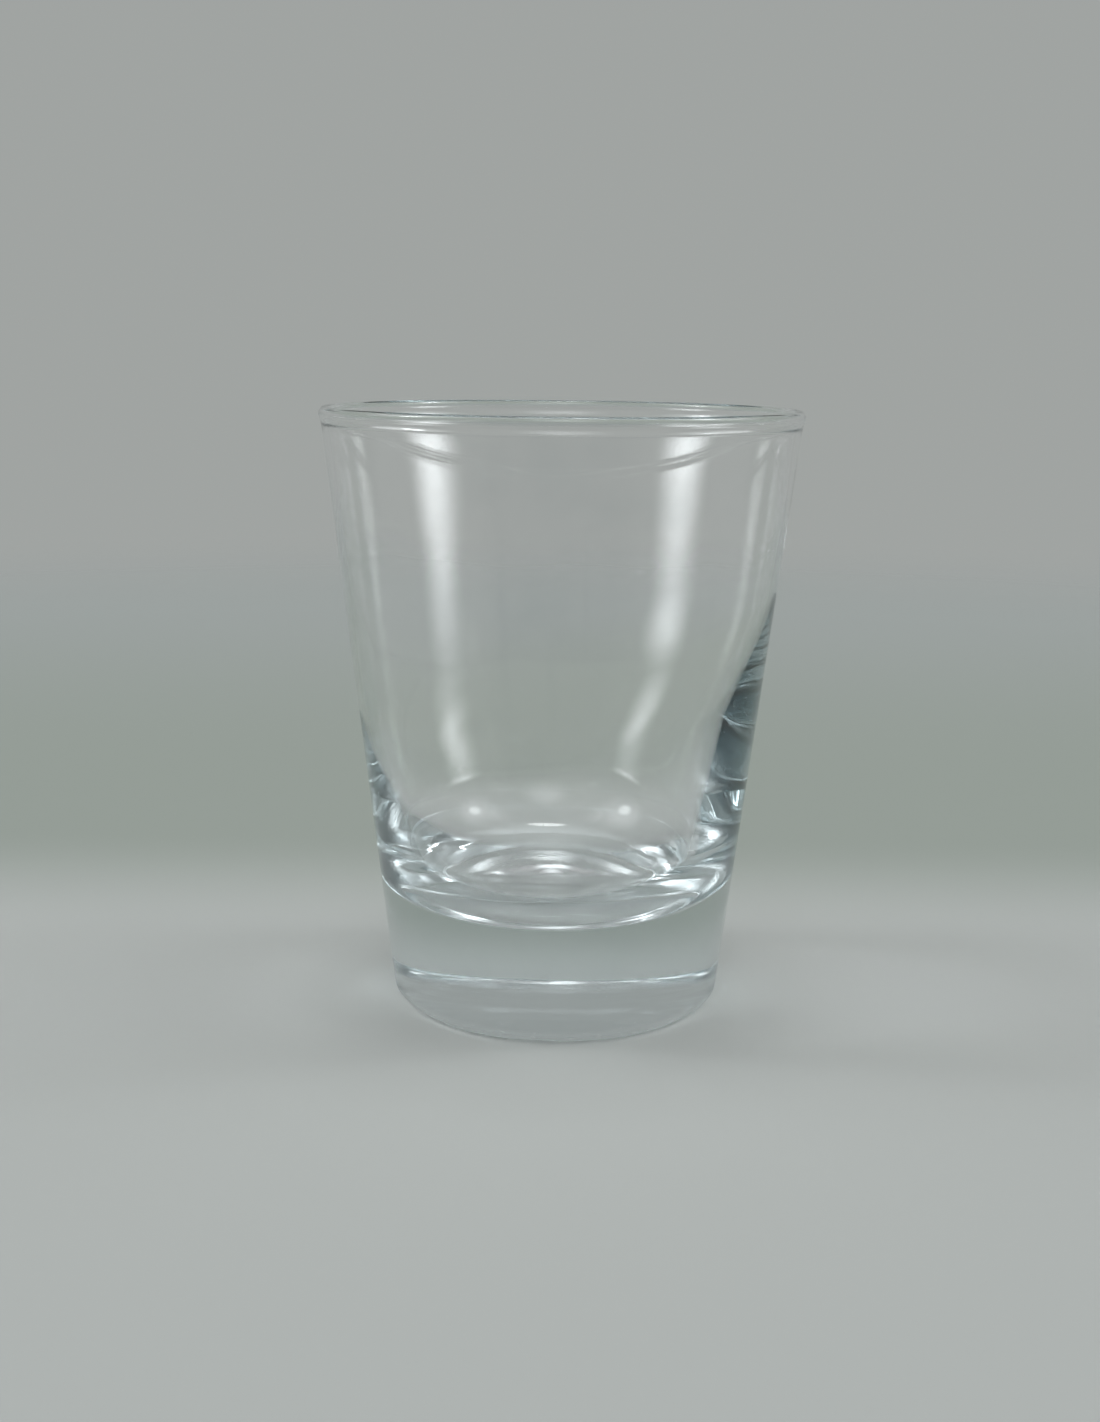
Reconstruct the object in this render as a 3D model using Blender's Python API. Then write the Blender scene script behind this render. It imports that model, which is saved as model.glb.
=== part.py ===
"""Rocks glass: a clear tumbler with a heavy base, a thin flared wall and a beaded rim, turned in one piece.

Metres, +Z up. The origin is on the table, under the middle of the foot.
"""
import math

import bmesh
import bpy
from mathutils import Vector

# Overall size
HEIGHT = 0.100
MOUTH_RADIUS = 0.0398  # where the line of the outer wall meets the plane of the rim
FOOT_RADIUS = 0.0279  # where the line of the outer wall meets the table

# Wall and rim, all thicknesses measured level
WALL = 0.0012
BEAD_HEIGHT = 0.0029  # from the top of the lip down to the plain wall
BEAD_CAP = 0.0013  # from the top of the lip down to the widest level of the bead
BEAD_OUTWARD = 0.00025  # how far the bead stands out of the wall, outside and inside
BEAD_INWARD = 0.00050

# Cavity
BASE_THICKNESS = 0.0176  # from the table up to the floor of the cavity
SIDE_AT_FLOOR = 0.0068  # glass beside the floor, out to the line of the outer wall
THICKENING_HEIGHT = 0.0525  # where the plain wall starts to thicken, going down
THICKENING_ROUND = 0.1000  # radius that eases the wall into the thick part
FLOOR_ROUND = 0.0106  # radius between the thick part and the floor

# Foot
HEEL_ROUND = 0.0020  # radius of the foot's outer edge
BEARING_WIDTH = 0.0050  # flat ring that the glass stands on
HOLLOW_DEPTH = 0.0008  # shallow hollow under the foot, inside the bearing ring

# Fineness of the round stretches
TURN_STEPS = 80
FLOOR_STEPS = 8
THICKENING_STEPS = 5
BEAD_SIDE_STEPS = 3
BEAD_CAP_STEPS = 10
HEEL_STEPS = 6
HOLLOW_STEPS = 4
SHARP_ANGLE = math.radians(35)  # edges bent more than this are shaded as edges
MERGE_DISTANCE = 1e-6  # joins the points that turn on the axis


def clear_scene():
    for obj in list(bpy.data.objects):
        bpy.data.objects.remove(obj)


def outer_radius(z):
    """Radius of the outer wall's straight line at height z."""
    return FOOT_RADIUS + (MOUTH_RADIUS - FOOT_RADIUS) * z / HEIGHT


def rounded_corner(before, corner, after, radius, steps):
    """Points of an arc of this radius that touches the two lines meeting at the corner."""
    towards_before = (before - corner).normalized()
    towards_after = (after - corner).normalized()
    half_angle = towards_before.angle(towards_after) / 2
    middle = (towards_before + towards_after).normalized()
    centre = corner + middle * (radius / math.sin(half_angle))
    reach = radius / math.tan(half_angle)
    start = (corner + towards_before * reach - centre).normalized()
    end = (corner + towards_after * reach - centre).normalized()
    return [centre + start.slerp(end, step / steps) * radius for step in range(steps + 1)]


def cavity_points():
    """From the middle of the cavity's floor, out and up the inner wall to just under the bead."""
    bead_foot = HEIGHT - BEAD_HEIGHT
    floor_middle = Vector((0, BASE_THICKNESS))
    floor_corner = Vector((outer_radius(BASE_THICKNESS) - SIDE_AT_FLOOR, BASE_THICKNESS))
    thickening = Vector((outer_radius(THICKENING_HEIGHT) - WALL, THICKENING_HEIGHT))
    wall_top = Vector((outer_radius(bead_foot) - WALL, bead_foot))
    points = [floor_middle]
    points += rounded_corner(floor_middle, floor_corner, thickening, FLOOR_ROUND, FLOOR_STEPS)
    points += rounded_corner(floor_corner, thickening, wall_top, THICKENING_ROUND, THICKENING_STEPS)
    points.append(wall_top)
    return points


def bead_points():
    """Over the lip: both sides swell in a half wave to the widest level, and half an ellipse caps them."""
    widest = HEIGHT - BEAD_CAP
    rise = BEAD_HEIGHT - BEAD_CAP
    inside = []
    outside = []
    for step in range(1, BEAD_SIDE_STEPS):
        share = step / BEAD_SIDE_STEPS
        z = HEIGHT - BEAD_HEIGHT + rise * share
        swell = (1 - math.cos(math.pi * share)) / 2
        inside.append(Vector((outer_radius(z) - WALL - BEAD_INWARD * swell, z)))
        outside.append(Vector((outer_radius(z) + BEAD_OUTWARD * swell, z)))
    half_width = (WALL + BEAD_INWARD + BEAD_OUTWARD) / 2
    middle = outer_radius(widest) + BEAD_OUTWARD - half_width
    cap = []
    for step in range(BEAD_CAP_STEPS + 1):
        angle = math.pi * (1 - step / BEAD_CAP_STEPS)
        cap.append(Vector((middle + half_width * math.cos(angle), widest + BEAD_CAP * math.sin(angle))))
    return inside + cap + outside[::-1]


def foot_points():
    """From just under the bead down the outer wall, round the heel and along the underside to the axis."""
    bead_foot = HEIGHT - BEAD_HEIGHT
    wall_top = Vector((outer_radius(bead_foot), bead_foot))
    heel = Vector((FOOT_RADIUS, 0))
    underside_middle = Vector((0, 0))
    round_heel = rounded_corner(wall_top, heel, underside_middle, HEEL_ROUND, HEEL_STEPS)
    hollow_radius = round_heel[-1].x - BEARING_WIDTH
    points = [wall_top] + round_heel
    for step in range(HOLLOW_STEPS + 1):
        radius = hollow_radius * (1 - step / HOLLOW_STEPS)
        points.append(Vector((radius, HOLLOW_DEPTH * (1 - (radius / hollow_radius) ** 2))))
    return points


def turned_mesh(name, points):
    """Turns a half section, given as (radius, height) points from axis to axis, into one closed mesh."""
    turned = bmesh.new()
    verts = [turned.verts.new((point.x, 0, point.y)) for point in points]
    edges = [turned.edges.new(pair) for pair in zip(verts, verts[1:])]
    bmesh.ops.spin(
        turned,
        geom=verts + edges,
        cent=(0, 0, 0),
        axis=(0, 0, 1),
        angle=2 * math.pi,
        steps=TURN_STEPS,
        use_merge=True,
    )
    bmesh.ops.remove_doubles(turned, verts=turned.verts, dist=MERGE_DISTANCE)
    bmesh.ops.recalc_face_normals(turned, faces=turned.faces)
    mesh = bpy.data.meshes.new(name)
    turned.to_mesh(mesh)
    turned.free()
    mesh.shade_smooth()
    mesh.set_sharp_from_angle(angle=SHARP_ANGLE)
    return mesh


def clear_glass():
    material = bpy.data.materials.new("clear_glass")
    material.use_nodes = True
    shader = material.node_tree.nodes["Principled BSDF"]
    shader.inputs["Base Color"].default_value = (0.93, 0.97, 0.96, 1)
    shader.inputs["Metallic"].default_value = 0
    shader.inputs["Roughness"].default_value = 0.02
    shader.inputs["IOR"].default_value = 1.52
    shader.inputs["Transmission Weight"].default_value = 1
    return material


def make_glass():
    mesh = turned_mesh("glass_tumbler", cavity_points() + bead_points() + foot_points())
    mesh.materials.append(clear_glass())
    glass = bpy.data.objects.new("glass_tumbler", mesh)
    bpy.context.scene.collection.objects.link(glass)
    return glass


clear_scene()
make_glass()
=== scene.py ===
"""Looks of the rocks glass: slightly uneven moulded glass, its worn clear material, and a plain studio."""
import math

import bmesh
import bpy
from mathutils import Matrix, Vector


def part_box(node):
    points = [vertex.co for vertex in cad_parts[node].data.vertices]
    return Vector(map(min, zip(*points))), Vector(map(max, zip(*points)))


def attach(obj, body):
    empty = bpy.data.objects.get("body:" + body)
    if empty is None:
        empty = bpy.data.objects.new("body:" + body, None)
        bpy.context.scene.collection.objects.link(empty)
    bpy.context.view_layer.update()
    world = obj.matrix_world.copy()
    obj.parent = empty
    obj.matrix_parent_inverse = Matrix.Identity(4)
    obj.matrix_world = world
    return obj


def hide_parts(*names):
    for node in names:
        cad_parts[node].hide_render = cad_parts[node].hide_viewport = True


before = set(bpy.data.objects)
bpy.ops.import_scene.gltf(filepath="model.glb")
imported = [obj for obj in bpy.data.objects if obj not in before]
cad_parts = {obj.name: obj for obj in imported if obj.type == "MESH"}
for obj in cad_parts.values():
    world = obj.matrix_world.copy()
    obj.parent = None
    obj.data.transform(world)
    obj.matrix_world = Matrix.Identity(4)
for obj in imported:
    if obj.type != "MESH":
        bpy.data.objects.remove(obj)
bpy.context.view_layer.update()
lowest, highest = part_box("glass_tumbler")

MM = 0.001
HEIGHT = highest.z - lowest.z

# Outer wall: a straight cone, given by its radius at the table and at the rim
FOOT_RADIUS = 27.9 * MM
MOUTH_RADIUS = 39.8 * MM

# Wall and rim
WALL = 1.2 * MM
BEAD_HEIGHT = 2.9 * MM
BEAD_CAP = 1.3 * MM
BEAD_OUTWARD = 0.25 * MM
BEAD_INWARD = 0.50 * MM

# Cavity: moulded slightly out of true, so each pair gives the right side and the left side of the glass
BASE_THICKNESS = 16.8 * MM
FLOOR_ROUND = 16.0 * MM
SIDE_AT_FLOOR = (7.5 * MM, 6.0 * MM)
THICKENING_HEIGHT = (63.0 * MM, 42.0 * MM)
THICKENING_ROUND = (120.0 * MM, 80.0 * MM)

# Foot: the heel's round is an oval that reaches further across the foot than up the wall
HEEL_ACROSS = 3.4 * MM
HEEL_UP = 1.2 * MM
BEARING_WIDTH = 5.0 * MM
HOLLOW_DEPTH = 0.8 * MM

# Waves in the inner wall: lobes around, height of one wave (its sign is its lean), phase in radians, depth
WALL_WAVES = (
    (3, 70 * MM, 0.4, 0.030 * MM),
    (5, -45 * MM, 1.7, 0.020 * MM),
    (9, 28 * MM, 2.9, 0.010 * MM),
)
WAVES_FADE = 12 * MM  # below the bead

# Rings left in the floor of the cavity by the moulding plunger
RIPPLE_DEPTH = 0.010 * MM
RIPPLE_SPACING = 3.6 * MM
RIPPLE_REACH = 14.0 * MM

# Unevenness of the foot: how far the bearing ring's inner edge wanders, and how the height of the heel's
# round changes around the glass, both given as lobes around, phase in radians, depth
EDGE_WANDER = (
    (5, 0.9, 0.25 * MM),
    (13, 2.1, 0.15 * MM),
    (31, 0.3, 0.08 * MM),
)
HEEL_WANDER = (
    (2, 1.57, 0.75 * MM),
    (4, 1.57, 0.15 * MM),
    (7, 0.4, 0.15 * MM),
    (19, 1.9, 0.09 * MM),
    (43, 0.7, 0.04 * MM),
)

# Fineness of the mesh
TURN_STEPS = 320
FLAT_STEPS = 48
FLOOR_STEPS = 24
WALL_STEPS = 32
BEAD_STEPS = 12
HEEL_STEPS = 24
HOLLOW_STEPS = 12


def outer_radius(z):
    """Radius of the outer wall's straight line at height z."""
    return FOOT_RADIUS + (MOUTH_RADIUS - FOOT_RADIUS) * z / HEIGHT


def smooth_share(share):
    """Eases from 0 to 1 while the share goes from 0 to 1."""
    held = min(max(share, 0.0), 1.0)
    return held * held * (3 - 2 * held)


def straight(start, end, steps):
    """Points from start up to, but not including, end."""
    return [start.lerp(end, step / steps) for step in range(steps)]


def rounded_corner(before, corner, after, radius, steps):
    """Points of an arc of this radius that touches the two lines meeting at the corner."""
    towards_before = (before - corner).normalized()
    towards_after = (after - corner).normalized()
    half_angle = towards_before.angle(towards_after) / 2
    middle = (towards_before + towards_after).normalized()
    centre = corner + middle * (radius / math.sin(half_angle))
    reach = radius / math.tan(half_angle)
    start = (corner + towards_before * reach - centre).normalized()
    end = (corner + towards_after * reach - centre).normalized()
    return [centre + start.slerp(end, step / steps) * radius for step in range(steps + 1)]


def around(right_left, angle):
    """Blends a right and left pair at this angle from the right side."""
    return right_left[0] + (right_left[1] - right_left[0]) * (1 - math.cos(angle)) / 2


def uneven(point, angle):
    """Moves a point of the cavity by the waves of the wall and the ripples of the floor."""
    wave = 0.0
    for lobes, wave_height, phase, depth in WALL_WAVES:
        wave += depth * math.sin(lobes * angle + 2 * math.pi * point.y / wave_height + phase)
    wave *= smooth_share((HEIGHT - BEAD_HEIGHT - point.y) / WAVES_FADE)
    wave *= smooth_share(point.x / RIPPLE_REACH)
    ripple = RIPPLE_DEPTH * math.cos(2 * math.pi * point.x / RIPPLE_SPACING)
    ripple *= 1 - smooth_share(point.x / RIPPLE_REACH)
    return Vector((point.x + wave, point.y + ripple))


def cavity_points(angle):
    """From the middle of the cavity's floor, out and up the inner wall to just under the bead."""
    bead_foot = HEIGHT - BEAD_HEIGHT
    height = around(THICKENING_HEIGHT, angle)
    floor_middle = Vector((0, BASE_THICKNESS))
    floor_corner = Vector((outer_radius(BASE_THICKNESS) - around(SIDE_AT_FLOOR, angle), BASE_THICKNESS))
    thickening = Vector((outer_radius(height) - WALL, height))
    wall_top = Vector((outer_radius(bead_foot) - WALL, bead_foot))
    floor_arc = rounded_corner(floor_middle, floor_corner, thickening, FLOOR_ROUND, FLOOR_STEPS)
    wall_round = around(THICKENING_ROUND, angle)
    wall_arc = rounded_corner(floor_corner, thickening, wall_top, wall_round, WALL_STEPS)
    points = straight(floor_middle, floor_arc[0], FLAT_STEPS)
    points += floor_arc[:-1]
    points += straight(floor_arc[-1], wall_arc[0], WALL_STEPS)
    points += wall_arc[:-1]
    points += straight(wall_arc[-1], wall_top, WALL_STEPS)
    points.append(wall_top)
    return [uneven(point, angle) for point in points]


def bead_points():
    """Over the lip: both sides swell in a half wave to the widest level, and half an ellipse caps them."""
    widest = HEIGHT - BEAD_CAP
    rise = BEAD_HEIGHT - BEAD_CAP
    inside = []
    outside = []
    for step in range(1, BEAD_STEPS):
        share = step / BEAD_STEPS
        z = HEIGHT - BEAD_HEIGHT + rise * share
        swell = (1 - math.cos(math.pi * share)) / 2
        inside.append(Vector((outer_radius(z) - WALL - BEAD_INWARD * swell, z)))
        outside.append(Vector((outer_radius(z) + BEAD_OUTWARD * swell, z)))
    half_width = (WALL + BEAD_INWARD + BEAD_OUTWARD) / 2
    middle = outer_radius(widest) + BEAD_OUTWARD - half_width
    cap = []
    for step in range(2 * BEAD_STEPS + 1):
        turn = math.pi * (1 - step / (2 * BEAD_STEPS))
        cap.append(Vector((middle + half_width * math.cos(turn), widest + BEAD_CAP * math.sin(turn))))
    return inside + cap + outside[::-1]


def wander(lobe_list, angle):
    """How far an edge departs from true at this angle."""
    return sum(depth * math.sin(lobes * angle + phase) for lobes, phase, depth in lobe_list)


def foot_points(angle):
    """From just under the bead down the outer wall, round the heel and along the underside to the axis."""
    bead_foot = HEIGHT - BEAD_HEIGHT
    wall_top = Vector((outer_radius(bead_foot), bead_foot))
    heel = Vector((FOOT_RADIUS, 0))
    flatness = (HEEL_UP + wander(HEEL_WANDER, angle)) / HEEL_ACROSS
    raised_top = Vector((wall_top.x, wall_top.y / flatness))
    round_heel = rounded_corner(raised_top, heel, Vector((0, 0)), HEEL_ACROSS, HEEL_STEPS)
    round_heel = [Vector((point.x, point.y * flatness)) for point in round_heel]
    hollow_radius = round_heel[-1].x - BEARING_WIDTH + wander(EDGE_WANDER, angle)
    points = straight(wall_top, round_heel[0], 2 * WALL_STEPS)
    points += round_heel
    for step in range(HOLLOW_STEPS + 1):
        radius = hollow_radius * (1 - step / HOLLOW_STEPS)
        points.append(Vector((radius, HOLLOW_DEPTH * (1 - (radius / hollow_radius) ** 2))))
    return points


def glass_mesh():
    """Joins one section for each angle into a closed mesh; the two ends of the sections lie on the axis."""
    joined = bmesh.new()
    sections = []
    for step in range(TURN_STEPS):
        angle = 2 * math.pi * step / TURN_STEPS
        points = cavity_points(angle) + bead_points() + foot_points(angle)
        across, back = math.cos(angle), math.sin(angle)
        sections.append([(point.x * across, point.x * back, point.y) for point in points])
    floor_middle = joined.verts.new(sections[0][0])
    underside_middle = joined.verts.new(sections[0][-1])
    columns = []
    for section in sections:
        columns.append([joined.verts.new(place) for place in section[1:-1]])
    for here, after in zip(columns, columns[1:] + columns[:1]):
        joined.faces.new((floor_middle, after[0], here[0]))
        for row in range(len(here) - 1):
            joined.faces.new((here[row], after[row], after[row + 1], here[row + 1]))
        joined.faces.new((here[-1], after[-1], underside_middle))
    bmesh.ops.recalc_face_normals(joined, faces=joined.faces)
    mesh = bpy.data.meshes.new("glass")
    joined.to_mesh(mesh)
    joined.free()
    mesh.shade_smooth()
    return mesh


def add_node(tree, kind, inputs, **settings):
    """Adds a node; its inputs take plain values or the outputs of other nodes."""
    made = tree.nodes.new("ShaderNode" + kind)
    for name, value in settings.items():
        setattr(made, name, value)
    for key, value in inputs.items():
        if isinstance(value, bpy.types.NodeSocket):
            tree.links.new(value, made.inputs[key])
        else:
            made.inputs[key].default_value = value
    return made


def maths(tree, operation, first, second=0.0, third=0.0):
    inputs = {0: first, 1: second, 2: third}
    return add_node(tree, "Math", inputs, operation=operation).outputs["Value"]


def product(tree, first, second):
    return maths(tree, "MULTIPLY", first, second)


def vector(tree, x, y):
    return add_node(tree, "CombineXYZ", {"X": x, "Y": y}).outputs["Vector"]


def vector_maths(tree, operation, first, second):
    return add_node(tree, "VectorMath", {0: first, 1: second}, operation=operation).outputs["Vector"]


def length(tree, place):
    return add_node(tree, "VectorMath", {0: place}, operation="LENGTH").outputs["Value"]


def eased(tree, value, low_high, reach=1.0):
    """Eases from 0 at the first of the pair to reach at the second; the first may be the larger one."""
    low, high = low_high
    inputs = {"Value": value, "From Min": low, "From Max": high, "To Max": reach}
    return add_node(tree, "MapRange", inputs, interpolation_type="SMOOTHSTEP").outputs["Result"]


def mixed(tree, factor, first, second):
    inputs = {"Factor": factor, "A": first, "B": second}
    return add_node(tree, "Mix", inputs, data_type="RGBA").outputs["Result"]


def noise(tree, place, scale, detail):
    return add_node(tree, "TexNoise", {"Vector": place, "Scale": scale, "Detail": detail}).outputs["Fac"]


def new_material(name):
    material = bpy.data.materials.new(name)
    material.use_nodes = True
    return material, material.node_tree, material.node_tree.nodes["Principled BSDF"]


# Glass: refraction, and the light that it takes away on the way through
REFRACTION = 1.52
ABSORPTION_COLOUR = (0.930, 0.949, 0.954, 1)
ABSORPTION_DENSITY = 50.0  # per metre

# Roughness of clean glass, of glass under a smudge and of the worn foot; colour of hazy and worn glass
CLEAN_ROUGHNESS = 0.01
SMUDGE_ROUGHNESS = 0.05
WORN_ROUGHNESS = 0.30
HAZE_COLOUR = (0.955, 0.965, 0.965, 1)

# Smudges and upright drying marks: scale of the noise per metre, its detail, and the noise where they set in
SMUDGE_SCALE = 48.0
SMUDGE_DETAIL = 4.0
SMUDGE_EDGE = (0.52, 0.75)
DRYING_STRETCH = (300.0, 300.0, 18.0)
DRYING_DETAIL = 2.0
DRYING_EDGE = (0.60, 0.80)
DRYING_SHARE = 0.6  # of a smudge's haze

# Wear of the foot: strokes that run round it, the heights and radii where they set in, and their depth
STROKES_ROUND = 12.0  # per radian
STROKES_ACROSS = 1800.0  # per metre
STROKE_DETAIL = 4.0
SCUFF_EDGE = (0.48, 0.70)
HEEL_WEAR = (1.4 * MM, 0.2 * MM)
UNDERSIDE_WEAR = (0.12 * MM, 0.02 * MM)
HEEL_WEAR_SHARE = 0.35  # of the wear under the foot
GROOVE_RADIUS = (19 * MM, 22 * MM)
GROOVE_DEPTH = 0.09 * MM

# Specks of dust: at most one for each cell of the spacing, with a soft edge in shares of the spacing
SPECK_SPACING = 11 * MM
SPECK_EDGE = (0.0208, 0.0112)
SPECKS_LEFT_OUT = 0.8  # share of the cells without a speck


def haze_on_glass(tree, place):
    """Smudges and drying marks, from 0 on clean glass to 1."""
    smudges = eased(tree, noise(tree, place, SMUDGE_SCALE, SMUDGE_DETAIL), SMUDGE_EDGE)
    drying_place = vector_maths(tree, "MULTIPLY", place, DRYING_STRETCH)
    drying_marks = eased(tree, noise(tree, drying_place, 1.0, DRYING_DETAIL), DRYING_EDGE)
    return maths(tree, "MAXIMUM", smudges, product(tree, drying_marks, DRYING_SHARE))


def wear_of_foot(tree, place):
    """How worn the foot is, from 0 to 1, and the height of its grooves in shares of their depth."""
    x, y, height = add_node(tree, "SeparateXYZ", {"Vector": place}).outputs
    radius = length(tree, vector(tree, x, y))
    turn = maths(tree, "ARCTAN2", y, x)
    stroke_place = vector(tree, product(tree, turn, STROKES_ROUND), product(tree, radius, STROKES_ACROSS))
    strokes = noise(tree, stroke_place, 1.0, STROKE_DETAIL)
    at_heel = eased(tree, height, HEEL_WEAR)
    at_underside = eased(tree, height, UNDERSIDE_WEAR)
    where_worn = maths(tree, "MAXIMUM", product(tree, at_heel, HEEL_WEAR_SHARE), at_underside)
    worn = product(tree, eased(tree, strokes, SCUFF_EDGE), where_worn)
    where_grooved = product(tree, at_heel, eased(tree, radius, GROOVE_RADIUS))
    return worn, product(tree, strokes, where_grooved)


def specks_of_dust(tree, place):
    """1 on a speck, 0 beside it."""
    cells = add_node(tree, "TexVoronoi", {"Vector": place, "Scale": 1 / SPECK_SPACING})
    draw = add_node(tree, "SeparateColor", {"Color": cells.outputs["Color"]}).outputs["Red"]
    chosen = maths(tree, "GREATER_THAN", draw, SPECKS_LEFT_OUT)
    return product(tree, eased(tree, cells.outputs["Distance"], SPECK_EDGE), chosen)


def glass_material():
    """Clear glass with faint smudges and drying marks, a few specks of dust, and a scuffed foot."""
    material, tree, shader = new_material("clear_glass")
    place = tree.nodes.new("ShaderNodeTexCoord").outputs["Object"]
    haze = haze_on_glass(tree, place)
    worn, grooves = wear_of_foot(tree, place)
    specks = specks_of_dust(tree, place)

    smudged = maths(tree, "MULTIPLY_ADD", haze, SMUDGE_ROUGHNESS - CLEAN_ROUGHNESS, CLEAN_ROUGHNESS)
    roughness = maths(tree, "MAXIMUM", smudged, product(tree, worn, WORN_ROUGHNESS))
    tree.links.new(roughness, shader.inputs["Roughness"])
    bump = add_node(tree, "Bump", {"Height": grooves, "Distance": GROOVE_DEPTH})
    tree.links.new(bump.outputs["Normal"], shader.inputs["Normal"])
    colour = mixed(tree, maths(tree, "MAXIMUM", haze, worn), (1, 1, 1, 1), HAZE_COLOUR)
    tree.links.new(colour, shader.inputs["Base Color"])
    tree.links.new(maths(tree, "SUBTRACT", 1.0, specks), shader.inputs["Transmission Weight"])
    shader.inputs["IOR"].default_value = REFRACTION

    tint = add_node(tree, "VolumeAbsorption", {"Color": ABSORPTION_COLOUR, "Density": ABSORPTION_DENSITY})
    tree.links.new(tint.outputs["Volume"], tree.nodes["Material Output"].inputs["Volume"])
    return material


def make_glass():
    mesh = glass_mesh()
    mesh.materials.append(glass_material())
    glass = bpy.data.objects.new("glass", mesh)
    bpy.context.scene.collection.objects.link(glass)
    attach(glass, "root")
    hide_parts("glass_tumbler")


# Studio floor: pale, darker towards the back, and fading out into the backdrop
FLOOR_RADIUS = 750 * MM
FLOOR_EDGES = 128
FLOOR_DROP = 0.05 * MM  # below the foot, so that the two never share a plane
FLOOR_NEAR = (0.456, 0.466, 0.453, 1)
FLOOR_BACK = (0.322, 0.348, 0.317, 1)
FLOOR_DARKENS = (25 * MM, 95 * MM)  # behind the glass
FLOOR_MEETS_BACKDROP = (150 * MM, 450 * MM)  # behind the glass
FLOOR_FADES = (FLOOR_RADIUS, 0.6 * FLOOR_RADIUS)
FLOOR_ROUGHNESS = 0.5

# World around it: the backdrop, a dark side behind the camera, and a ceiling, with angles in degrees
BACKDROP = (0.354, 0.371, 0.361, 1)
BEHIND_CAMERA = (0.08, 0.10, 0.105, 1)
DARK_SIDE_ENDS = (30, 60)  # round from the camera's side
DARK_SIDE_TOP = (25, 45)  # up
CEILING = (0.5, 0.5, 0.5, 1)
CEILING_BACK = 3  # from straight up to the ceiling's middle
CEILING_EDGE = (0.80, 0.90)  # cosine of the angle from its middle

# Oblong lamp in the ceiling, in degrees across and back from straight up, so near to it that the direction's
# x and y serve as angles
CEILING_LAMP = (11.0, 11.3, 11.3, 1)
CEILING_LAMP_MIDDLE = (0, 9)
CEILING_LAMP_HALF = (10, 3.2)
CEILING_LAMP_EDGE = (1.0, 0.5)  # shares of its half size where the light ends and where it is full

# Soft lamps: degrees round from the camera's side, degrees up, half width, half height, strength
LAMP_COLOUR = (0.96, 1.0, 1.02)
LAMPS = (
    (-71, 9.0, 20, 6.0, 5.4),  # low at the left: the streak at the right of the glass
    (-71, 3.5, 18, 12, 2.8),
    (74, 8.5, 21, 6.0, 5.4),  # low at the right: the streak at the left of the glass
    (74, 3, 16, 13, 2.9),
    (-97, 50, 36, 26, 3.6),  # broad, high at both sides and in front: light on the floor round the foot
    (97, 50, 36, 26, 3.6),
    (0, 56, 36, 22, 3.0),
    (-94, 44, 9, 7, 20),  # small, high at both sides: the two round spots
    (97, 49, 9, 7, 18),
)


def make_floor():
    material, tree, shader = new_material("floor")
    place = tree.nodes.new("ShaderNodeTexCoord").outputs["Object"]
    depth = add_node(tree, "SeparateXYZ", {"Vector": place}).outputs["Y"]
    colour = mixed(tree, eased(tree, depth, FLOOR_DARKENS), FLOOR_NEAR, FLOOR_BACK)
    colour = mixed(tree, eased(tree, depth, FLOOR_MEETS_BACKDROP), colour, BACKDROP)
    tree.links.new(colour, shader.inputs["Base Color"])
    tree.links.new(eased(tree, length(tree, place), FLOOR_FADES), shader.inputs["Alpha"])
    shader.inputs["Roughness"].default_value = FLOOR_ROUGHNESS
    shader.inputs["Specular IOR Level"].default_value = 0
    middle = (0, 0, -FLOOR_DROP)
    bpy.ops.mesh.primitive_circle_add(
        vertices=FLOOR_EDGES, radius=FLOOR_RADIUS, fill_type="NGON", location=middle
    )
    floor = bpy.context.object
    floor.name = "floor"
    floor.data.materials.append(material)


def radians(degrees):
    return tuple(math.radians(angle) for angle in degrees)


def oval_distance(tree, place, middle, half):
    """How far a place is from an oval's middle, 0 there and 1 at its edge; the oval is given in degrees."""
    offset = vector_maths(tree, "SUBTRACT", place, (*radians(middle), 0))
    return length(tree, vector_maths(tree, "DIVIDE", offset, (*radians(half), 1)))


def walls_and_ceiling(tree, direction, turn, raised):
    """How bright the world is without its lamps."""
    beside = eased(tree, maths(tree, "ABSOLUTE", turn), radians(DARK_SIDE_ENDS))
    above = eased(tree, raised, radians(DARK_SIDE_TOP))
    level = mixed(tree, maths(tree, "MAXIMUM", beside, above), BEHIND_CAMERA, BACKDROP)
    tilt = math.radians(CEILING_BACK)
    ceiling = {0: direction, 1: (0, math.sin(tilt), math.cos(tilt))}
    upward = add_node(tree, "VectorMath", ceiling, operation="DOT_PRODUCT").outputs["Value"]
    return mixed(tree, eased(tree, upward, CEILING_EDGE), level, CEILING)


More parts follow.
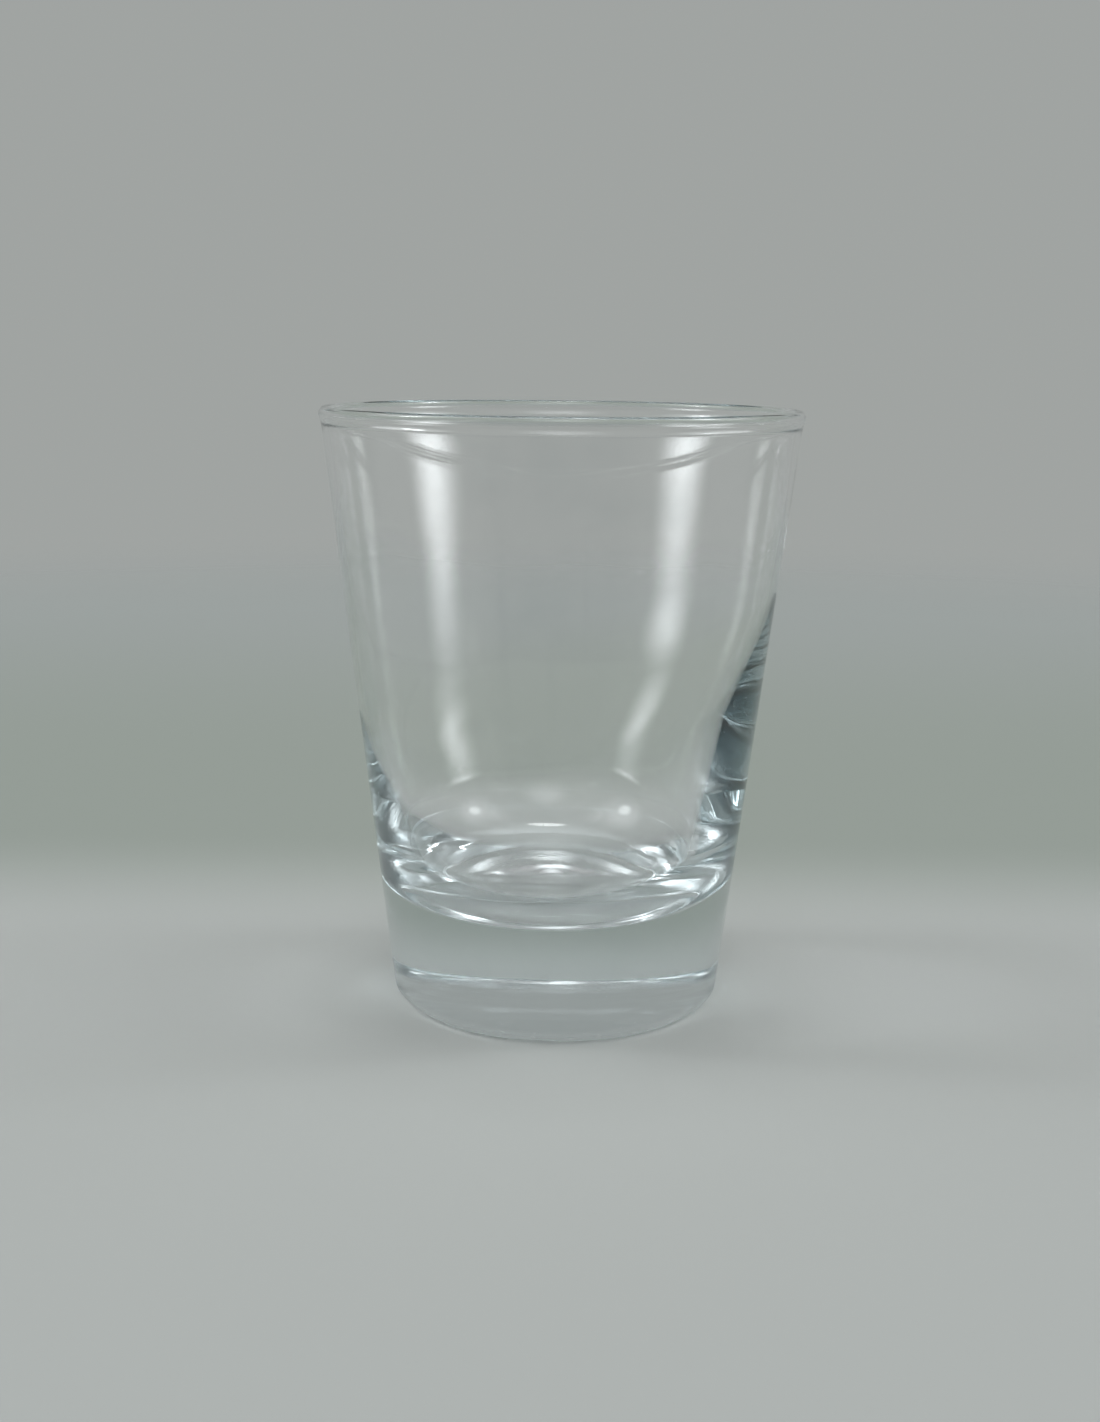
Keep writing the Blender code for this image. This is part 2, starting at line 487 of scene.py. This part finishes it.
def make_world():
    """Lights the glass from all round; the camera itself sees the plain backdrop."""
    world = bpy.data.worlds.new("studio")
    bpy.context.scene.world = world
    world.use_nodes = True
    tree = world.node_tree
    direction = tree.nodes.new("ShaderNodeTexCoord").outputs["Generated"]
    x, y, z = add_node(tree, "SeparateXYZ", {"Vector": direction}).outputs
    turn = maths(tree, "ARCTAN2", x, product(tree, y, -1.0))
    raised = maths(tree, "ARCSINE", z)
    level = walls_and_ceiling(tree, direction, turn, raised)
    from_lamp = oval_distance(tree, vector(tree, x, y), CEILING_LAMP_MIDDLE, CEILING_LAMP_HALF)
    level = mixed(tree, eased(tree, from_lamp, CEILING_LAMP_EDGE), level, CEILING_LAMP)
    heading = vector(tree, turn, raised)
    glow = 0.0
    for azimuth, elevation, half_width, half_height, strength in LAMPS:
        distance = oval_distance(tree, heading, (azimuth, elevation), (half_width, half_height))
        glow = maths(tree, "ADD", eased(tree, distance, (1.0, 0.0), strength), glow)
    lamps_on = {0: LAMP_COLOUR, 1: glow, 2: level}
    lit = add_node(tree, "VectorMath", lamps_on, operation="MULTIPLY_ADD").outputs["Vector"]
    camera_ray = tree.nodes.new("ShaderNodeLightPath").outputs["Is Camera Ray"]
    tree.links.new(mixed(tree, camera_ray, lit, BACKDROP), tree.nodes["Background"].inputs["Color"])


# Camera: its place, tilt down and roll in degrees, and a focal length in pixels of the picture
CAMERA_PLACE = (-1.415 * MM, -294.45 * MM, 110.02 * MM)
CAMERA_DOWN = 11.73
CAMERA_ROLL = 0.64
FOCAL_PIXELS = 1762
PICTURE_HEIGHT = 1422
SENSOR = 36  # millimetres along the picture's height

LIGHT_BOUNCES = 80  # light runs round inside the thick wall many times before it leaves


def make_camera():
    data = bpy.data.cameras.new("camera")
    data.sensor_width = SENSOR
    data.lens = SENSOR * FOCAL_PIXELS / PICTURE_HEIGHT
    camera = bpy.data.objects.new("camera", data)
    bpy.context.scene.collection.objects.link(camera)
    tilt = Matrix.Rotation(math.radians(90 - CAMERA_DOWN), 4, "X")
    roll = Matrix.Rotation(math.radians(CAMERA_ROLL), 4, "Z")
    camera.matrix_world = Matrix.Translation(CAMERA_PLACE) @ tilt @ roll
    bpy.context.scene.camera = camera


def set_light_paths():
    """Plain colours, and enough bounces for clear glass."""
    bpy.context.scene.view_settings.view_transform = "Standard"
    cycles = bpy.context.scene.cycles
    cycles.max_bounces = LIGHT_BOUNCES
    cycles.glossy_bounces = LIGHT_BOUNCES
    cycles.transmission_bounces = LIGHT_BOUNCES
    cycles.blur_glossy = 0.0


make_glass()
make_floor()
make_world()
make_camera()
set_light_paths()
